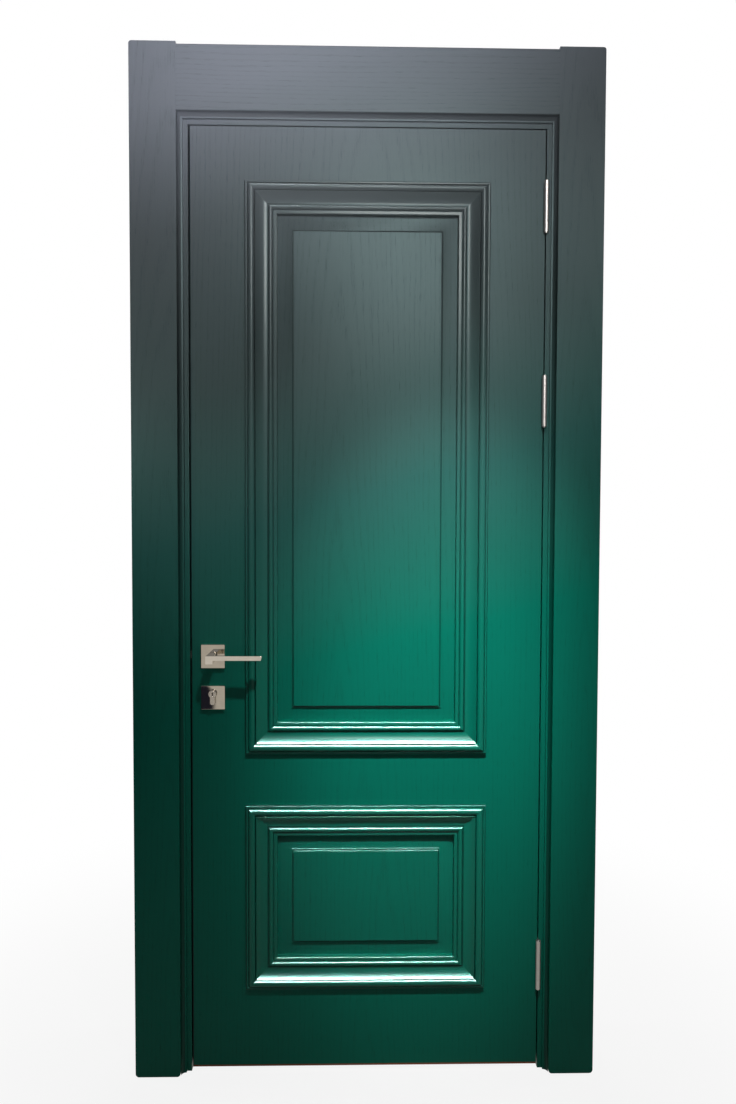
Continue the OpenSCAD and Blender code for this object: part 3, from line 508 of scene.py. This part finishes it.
def moulding_length(length):
    """A mitred length along X about the origin, its outer edge at z = 0."""
    bm = bmesh.new()
    over = 2 * MM
    face = moulding_face(bm)
    bmesh.ops.translate(bm, vec=(-length / 2 - over, 0, 0), verts=bm.verts)
    extruded(bm, face, (length + 2 * over, 0, 0))
    mitre_gap = 0.05 * MM
    for side in (-1, 1):
        cut_off(bm, (side * (length / 2 - mitre_gap), 0, 0), (side, 0, 1))
    # Faces in the quirks and along the outer edge take the painted shade
    for face in bm.faces:
        middle = face.calc_center_median() / MM
        for place, below in PAINTED_SHADE_LINES:
            if abs(middle.z - place) < SHADE_LINE_REACH and -middle.y < below:
                face.material_index = IN_PAINTED_SHADE
    return bm


def moulding_places(low, high):
    """For each side of a moulding frame: its length, its turn, and the middle of its outer edge."""
    wide, tall = high.x - low.x, high.z - low.z
    middle = (low + high) / 2
    return {
        "bottom": (wide, 0, (middle.x, leaf_front, low.z)),
        "top": (wide, 180, (middle.x, leaf_front, high.z)),
        "left": (tall, 90, (low.x, leaf_front, middle.z)),
        "right": (tall, -90, (high.x, leaf_front, middle.z)),
    }


def turned_round(y):
    """Half a turn about the upright line through the middle at a depth."""
    half_turn = Matrix.Rotation(math.pi, 4, "Z")
    return Matrix.Translation((0, y, 0)) @ half_turn @ Matrix.Translation((0, -y, 0))


def mouldings(level):
    """The runs round one panel, each by itself on the front and all in one on the rear."""
    low = Vector((
        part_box(f"{level}_moulding_left")[0].x, 0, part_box(f"{level}_moulding_bottom")[0].z
    ))
    high = Vector((
        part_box(f"{level}_moulding_right")[1].x, 0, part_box(f"{level}_moulding_top")[1].z
    ))
    rear = bmesh.new()
    for side, (length, turn, at) in moulding_places(low, high).items():
        place = Matrix.Translation(at) @ Matrix.Rotation(math.radians(turn), 4, "Y")
        level_run = side in ("top", "bottom")
        front = bmesh.new()
        add_to(front, moulding_length(length), place)
        paint = level_moulding_paint if level_run else moulding_paint
        node = f"{level}_moulding_{side}"
        piece(f"{node}_run", front, "leaf", [paint, paint, quirk_shade_paint], [node])
        add_to(rear, moulding_length(length), turned_round(leaf_middle) @ place, int(level_run))
    piece(
        f"{level}_moulding_rear_runs", rear, "leaf",
        [moulding_paint, level_moulding_paint, quirk_shade_paint], [f"{level}_mouldings_rear"]
    )


# Raised panels

def raised_panel(node, paint):
    """A panel with bevels, a dipped ledge and a raised field on both faces."""
    low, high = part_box(node)
    inset_y = (BEVEL_RISE + 2 * STEP_H) * MM
    size = high - low - Vector((0, 2 * inset_y, 0))
    bm = bmesh.new()
    bmesh.ops.create_cube(bm, size=1)
    bmesh.ops.scale(bm, vec=size, verts=bm.verts)
    bmesh.ops.translate(bm, vec=(low + high) / 2, verts=bm.verts)
    for way in (-1, 1):
        field = max(bm.faces, key=lambda f: f.normal.y * way)
        out = Vector((0, way * MM, 0))
        for width, rise in ((TONGUE_SHOW, 0), (BEVEL_W, BEVEL_RISE)):
            inset(bm, field, width)
            bmesh.ops.translate(bm, vec=out * rise, verts=field.verts)
        for rise, width in ((STEP_H, LEDGE_W), (STEP_H + LEDGE_DIP, 0)):
            raised = bmesh.ops.extrude_discrete_faces(bm, faces=[field])
            field = raised["faces"][0]
            bmesh.ops.translate(bm, vec=out * rise, verts=field.verts)
            if width:
                inset(bm, field, width)
                bmesh.ops.translate(bm, vec=-out * LEDGE_DIP, verts=field.verts)
    bm.normal_update()
    ease(bm, sharp_edges(bm, PANEL_CREASE), PANEL_EASE * MM)
    bm.normal_update()
    # The ledge round the field takes the painted shade
    ledge_from, ledge_to = LEDGE_LOOK
    for face in bm.faces:
        look = abs(face.normal.y)
        on_ledge = ledge_from < look < ledge_to
        face.material_index = IN_PAINTED_SHADE if on_ledge else int(look < FLAT_LOOK)
    finishes = [paint, level_moulding_paint, quirk_shade_paint]
    piece(f"{node}_raised", bm, "leaf", finishes, [node], PANEL_SMOOTH)


# Casings

lip_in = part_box("hinge_casing_front")[0].x
casing_in = lip_in + LIP_W * MM
casing_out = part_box("hinge_casing_front")[1].x
casing_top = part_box("hinge_casing_front")[1].z
head_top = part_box("head_casing_front")[1].z
head_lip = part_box("head_casing_front")[0].z
head_in = head_lip + LIP_W * MM
wall_front = wall_low.y


def casing_board(x0, x1, z0, z1, corner_top, corner_foot):
    """A board on the wall's face, with rounded corners at its foot and at its outer top."""
    bm = bmesh.new()
    left, right, low, high = (v / MM for v in (x0, x1, z0, z1))
    edge = Outline(bm, (1, 0, 0), (0, 0, 1), (left, low + corner_foot))
    if corner_foot:
        edge.arc((left + corner_foot, low + corner_foot), 90, 6)
        edge.line((right - corner_foot, low)).arc((right - corner_foot, low + corner_foot), 90, 6)
    else:
        edge.line((right, low))
    if corner_top:
        edge.line((right, high - corner_top)).arc((right - corner_top, high - corner_top), 90, 6)
    else:
        edge.line((right, high))
    edge.line((left, high))
    extruded(bm, edge.face(), (0, -CASING_T * MM, 0))
    bm.normal_update()
    return bm


def front_edges(bm, test):
    """Edges of a casing board's front whose middles pass a test."""
    front = -CASING_T * MM
    chosen = []
    for edge in bm.edges:
        on_front = all(abs(v.co.y - front) < 0.01 * MM for v in edge.verts)
        if on_front and test((edge.verts[0].co + edge.verts[1].co) / 2):
            chosen.append(edge)
    return chosen


def lip_strip(length):
    """The coved lip along X, its thin edge at z = 0."""
    bm = bmesh.new()
    section = Outline(bm, (0, 0, 1), (0, -1, 0), (0, 0))
    section.line((0, LIP_EDGE)).arc((0, LIP_EDGE + LIP_W), 90, 10)
    section.line((LIP_W, 0))
    face = section.face()
    bmesh.ops.translate(bm, vec=(-length / 2, 0, 0), verts=bm.verts)
    extruded(bm, face, (length, 0, 0))
    # The lip's cove next to the board takes the painted shade
    for face in bm.faces:
        if face.calc_center_median().z > LIP_DEEP * MM:
            face.material_index = IN_PAINTED_SHADE
    return bm


def side_casing():
    """The front casing of the hinge side, with the wall's face at y = 0."""
    whole = bmesh.new()
    board = casing_board(casing_in, casing_out, 0, casing_top, CASING_CORNER, CASING_FOOT)
    ease(board, front_edges(board, lambda m: m.x < casing_in + MM), CASING_ARRIS * MM)
    past_foot = casing_in + (CASING_FOOT + 1) * MM
    ease(board, front_edges(board, lambda m: m.z > MM and m.x > past_foot), CASING_ROUND * MM, 5)
    add_to(whole, board, Matrix())
    lip = lip_strip(2 * head_in)
    up = Matrix.Rotation(math.pi / 2, 4, "Y")
    lip.transform(Matrix.Translation((lip_in, 0, 0)) @ up)
    cut_off(lip, (0, 0, 0), (0, 0, -1))
    cut_off(lip, (lip_in, 0, head_lip), (-1, 0, 1))
    add_to(whole, lip, Matrix())
    return whole


def head_casing():
    """The front head casing between the side casings, with the wall's face at y = 0."""
    whole = bmesh.new()
    board = casing_board(-casing_in, casing_in, head_in, head_top, 0, 0)
    ease(board, front_edges(board, lambda m: m.z < head_in + MM), CASING_ARRIS * MM)
    ease(board, front_edges(board, lambda m: m.z > head_top - MM), CASING_ROUND * MM, 5)
    add_to(whole, board, Matrix())
    lip = lip_strip(2 * (casing_in + LIP_W * MM))
    lip.transform(Matrix.Translation((0, 0, head_lip)))
    for side in (-1, 1):
        cut_off(lip, (side * lip_in, 0, head_lip), (side, 0, -1))
    add_to(whole, lip, Matrix())
    return whole


def casings():
    """Two side casings and a head, on the front and on the rear."""
    mirror_x = Matrix.Scale(-1, 4, (1, 0, 0))
    for face in ("front", "rear"):
        onto = Matrix.Translation((0, wall_front, 0))
        if face == "rear":
            onto = turned_round(wall_middle) @ onto
        for name, made, flip, paint in (
            ("hinge_casing", side_casing, face == "rear", hinge_side_paint),
            ("lock_casing", side_casing, face == "front", lock_side_paint),
            ("head_casing", head_casing, False, level_paint),
        ):
            bm = bmesh.new()
            add_to(bm, made(), onto @ mirror_x if flip else onto)
            finishes = [paint, paint, quirk_shade_paint]
            piece(f"{name}_{face}_board", bm, "frame", finishes, [f"{name}_{face}"])


# Hardware

def eased_copy(node, body, material, radius, proud=0):
    """A CAD solid with its edges broken, as a fitting has them, and its front end drawn out."""
    bm = bmesh.new()
    bm.from_mesh(nodes[node].data)
    bmesh.ops.remove_doubles(bm, verts=bm.verts, dist=WELD * MM)
    flat = math.radians(FLAT_WITHIN)
    bmesh.ops.dissolve_limit(bm, angle_limit=flat, verts=bm.verts, edges=bm.edges)
    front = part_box(node)[0].y + 0.1 * MM
    front_end = [v for v in bm.verts if v.co.y < front]
    bmesh.ops.translate(bm, vec=(0, -proud * MM, 0), verts=front_end)
    bm.normal_update()
    ease(bm, sharp_edges(bm, FITTING_CREASE), radius * MM)
    piece(f"{node}_eased", bm, body, [material], [node])


def hardware():
    """Lock fittings and hinges."""
    for node in ("front_rose", "rear_rose", "front_escutcheon", "rear_escutcheon"):
        eased_copy(node, "leaf", polished_nickel, 0.8)
    for node in ("front_lever", "rear_lever"):
        eased_copy(node, "handle", lit_lever_nickel, 1.0)
    eased_copy("cylinder_body", "leaf", satin_nickel, 0.8, proud=CYLINDER_PROUD)
    eased_copy("cylinder_plug", "key_turn", satin_nickel, 0.4, proud=CYLINDER_PROUD)
    eased_copy("thumb_turn", "key_turn", polished_nickel, 1.0)
    eased_copy("lock_forend", "leaf", polished_nickel, 0.4)
    eased_copy("strike_plate", "frame", polished_nickel, 0.3)
    for level in ("top", "middle", "bottom"):
        eased_copy(f"{level}_hinge_frame_leaf", "frame", hinge_steel, 0.7)
        eased_copy(f"{level}_hinge_door_leaf", "leaf", hinge_steel, 0.7)


def dress(names, material):
    """Gives CAD nodes that stay as they are their finish."""
    for name in names:
        slots = nodes[name].data.materials
        slots.clear()
        slots.append(material)


for level in ("upper", "lower"):
    mouldings(level)
raised_panel("upper_panel", panel_paint)
raised_panel("lower_panel", lower_panel_paint)
casings()
hardware()
dress(["front_face_sheet"], face_paint)
dress(["rear_face_sheet", "lock_stile", "hinge_stile"], leaf_paint)
dress(["top_rail", "lock_rail", "bottom_rail"], core_timber)
dress(["lock_jamb", "hinge_jamb", "lock_stop", "hinge_stop"], lining_paint)
dress(["head_jamb", "head_stop"], level_paint)
dress(["seal_strip"], rubber)
dress(["strike_screws", "forend_screws"], polished_nickel)
dress(["hinge_pins", "frame_hinge_screws", "door_hinge_screws"], hinge_steel)
dress(["lock_case", "spindle", "follower", "latch_bolt", "deadbolt", "cylinder_cam"], plain_steel)


# Floor, light and camera

# How much of the object's shadow shows on the floor, and, in metres: half the floor's side, where
# the shadow fades, and a dark spot's middle and radius
SHADOW = 0.12
FLOOR_HALF = 9.0
SHADOW_REACH = (0.5, 1.8)
DARK_SPOT = (-4.938, -3.435, 4.0)
SPOT_BLUR = 0.02

# The strip lamps over the mouldings
STRIP_X, STRIP_Z = -0.10, 3.00
STRIP_WIDE, STRIP_DEEP = 2.4, 0.5
STRIP_SPREAD = math.radians(36)
GLINT_TINT = (1.0, 0.91, 0.87)


def pale_floor():
    """White to the camera but for the object's shadow; in polished metal, pale with one dark spot."""
    bm = bmesh.new()
    bmesh.ops.create_grid(bm, x_segments=1, y_segments=1, size=FLOOR_HALF)
    mesh = bpy.data.meshes.new("floor")
    bm.to_mesh(mesh)
    bm.free()
    finish = Finish("floor_white")
    place = finish.node("TexCoord", None, None, "Object")
    reach = finish.node("VectorMath", {"operation": "LENGTH"}, {0: place}, "Value")
    tone = finish.blend(finish.noise(place, 3), (0.48, 0.48, 0.47), (0.52, 0.52, 0.51))
    lit = finish.node("BsdfDiffuse", None, {"Color": tone})
    x, y, radius = DARK_SPOT
    aside = finish.node("VectorMath", {"operation": "DISTANCE"}, {0: place, 1: (x, y, 0)}, "Value")
    mirrored = aside.smooth(radius - SPOT_BLUR, radius + SPOT_BLUR)
    camera_ray = finish.node("LightPath", None, None, "Is Camera Ray")
    glossy_ray = finish.node("LightPath", None, None, "Is Glossy Ray")
    white = camera_ray * (reach.smooth(*SHADOW_REACH) * SHADOW + (1 - SHADOW))
    in_metal = finish.blend(mirrored, (0.01, 0.01, 0.02), (0.62, 0.58, 0.52))
    glow = finish.blend(camera_ray, in_metal, (1, 1, 1))
    shine = finish.node("Emission", None, {"Color": glow, "Strength": 1.0})
    shown = (white + glossy_ray * 0.9).math("MINIMUM", 1)
    mixed = finish.node("MixShader", None, {0: shown, 1: lit, 2: shine})
    mesh.materials.append(finish.output(mixed))
    floor = bpy.data.objects.new("floor", mesh)
    bpy.context.scene.collection.objects.link(floor)


def studio_world():
    """White to the camera; in metal, white behind the object and dim before it."""
    world = bpy.data.worlds.new("studio")
    bpy.context.scene.world = world
    finish = Finish("studio", world)
    camera_ray = finish.node("LightPath", None, None, "Is Camera Ray")
    glossy_ray = finish.node("LightPath", None, None, "Is Glossy Ray")
    direction = finish.node("TexCoord", None, None, "Generated")
    toward = finish.node("SeparateXYZ", None, {0: direction}, "Y")
    behind = toward.smooth(-0.05, 0.35) * 0.75 + 0.25
    room = finish.node("Background", None, {"Color": (0.92, 0.96, 1.0), "Strength": 0.04})
    white = finish.node("Background", None, {"Color": (1, 1, 1), "Strength": 1.0})
    shown = (camera_ray + glossy_ray * behind).math("MINIMUM", 1)
    finish.output(finish.node("MixShader", None, {0: shown, 1: room, 2: white}))


def aimed(at, target):
    return (Vector(target) - Vector(at)).to_track_quat("-Z", "Y").to_euler()


def lamp(name, kind, at, target, power, shines="all", only=(), **settings):
    """A lamp seen in colour, in sheen or in both, on all pieces or only on those named."""
    light = bpy.data.lights.new(name, kind)
    light.energy = power
    for key, value in settings.items():
        setattr(light, key, value)
    made = bpy.data.objects.new(name, light)
    made.location = at
    made.rotation_euler = aimed(at, target)
    made.visible_camera = False
    if only:
        group = bpy.data.collections.new(name)
        for lit in only:
            group.objects.link(bpy.data.objects[lit])
        made.light_linking.receiver_collection = group
    made.visible_diffuse = shines != "sheen"
    made.visible_glossy = shines != "colour"
    bpy.context.scene.collection.objects.link(made)


def spot(name, at, target, power, cone, softness, shines="all"):
    """A soft round pool of light on the leaf, about a target in x and z."""
    x, z = target
    lamp(
        name, "SPOT", at, (x, leaf_front, z), power, shines,
        spot_size=math.radians(cone), spot_blend=1.0, shadow_soft_size=softness
    )


def panel_light(
    name, at, target, power, wide, tall, shines="all", only=(), spread=math.pi, tint=(1, 1, 1)
):
    """Light from a flat panel."""
    lamp(
        name, "AREA", at, target, power, shines, only,
        shape="RECTANGLE", size=wide, size_y=tall, spread=spread, color=tint
    )


def lamps():
    """Ceiling lamps in front of the leaf, their glints in its sheen, and plain light from behind."""
    ceiling = (0.25, -1.30, 2.85)
    spot("key", ceiling, (0.17, 0.72), 133, 17, 0.05)
    spot("key_pool", ceiling, (0.16, 0.95), 245, 24, 0.05)
    spot("key_halo", ceiling, (0.12, 1.02), 100, 37, 0.05)
    spot("left_middle", (-1.00, -2.60, 2.30), (-0.58, 1.45), 230, 15, 0.30, "colour")
    spot("right_middle", (1.00, -2.60, 2.30), (0.74, 1.80), 215, 15, 0.30, "colour")
    spot("high_left", (0.45, -3.00, 1.50), (-0.36, 2.42), 500, 22, 0.40, "colour")
    spot("high_right", (-0.45, -3.00, 1.50), (0.30, 2.44), 210, 20, 0.40, "colour")
    spot("middle", (0.26, -3.00, 2.40), (0.14, 1.72), 50, 17, 0.40, "colour")

    faint = ["upper_panel_raised", "upper_moulding_top_run"]
    for level in ("upper", "lower"):
        faint += [f"{level}_moulding_left_run", f"{level}_moulding_right_run"]
    lower = ["lower_moulding_top_run", "lower_moulding_bottom_run", "lower_panel_raised"]
    low = (0, leaf_front, 0.50)
    for name, y, power, only in (
        ("bead_strip", -0.80, 95, ["upper_moulding_bottom_run"]),
        ("low_strip", -1.90, 95, lower),
        ("faint_strip", -0.80, 25, faint),
    ):
        panel_light(
            name, (STRIP_X, y, STRIP_Z), low, power, STRIP_WIDE, STRIP_DEEP, "sheen", only, STRIP_SPREAD
        )
    high = (0.07, leaf_front, 1.90)
    panel_light("glint", (0.30, -3.00, 2.85), high, 80, 0.8, 0.7, "sheen", tint=GLINT_TINT)
    panel_light("rear", (0, 3.20, 2.00), (0, leaf_rear, 1.20), 80, 2.0, 2.0)
    for side in (-1, 1):
        panel_light(f"side_{side}", (side * 3.20, 0.60, 1.60), (0, 0.10, 1.20), 45, 1.0, 2.0)


def camera():
    """The photograph's camera."""
    yaw, pitch, roll = CAMERA_YAW, CAMERA_PITCH, CAMERA_ROLL
    ahead = Vector((
        math.sin(yaw) * math.cos(pitch), math.cos(yaw) * math.cos(pitch), -math.sin(pitch)
    ))
    level_right = ahead.cross((0, 0, 1)).normalized()
    level_up = level_right.cross(ahead)
    right = math.cos(roll) * level_right + math.sin(roll) * level_up
    up = right.cross(ahead)
    data = bpy.data.cameras.new("photo_camera")
    data.sensor_width = 36
    data.lens = data.sensor_width * FOCAL_PX / max(PHOTO_W, PHOTO_H)
    made = bpy.data.objects.new("photo_camera", data)
    made.location = CAMERA_AT
    made.rotation_euler = Matrix((right, up, -ahead)).transposed().to_euler()
    bpy.context.scene.collection.objects.link(made)
    bpy.context.scene.camera = made


pale_floor()
studio_world()
lamps()
camera()
bpy.context.scene.view_settings.view_transform = "Standard"
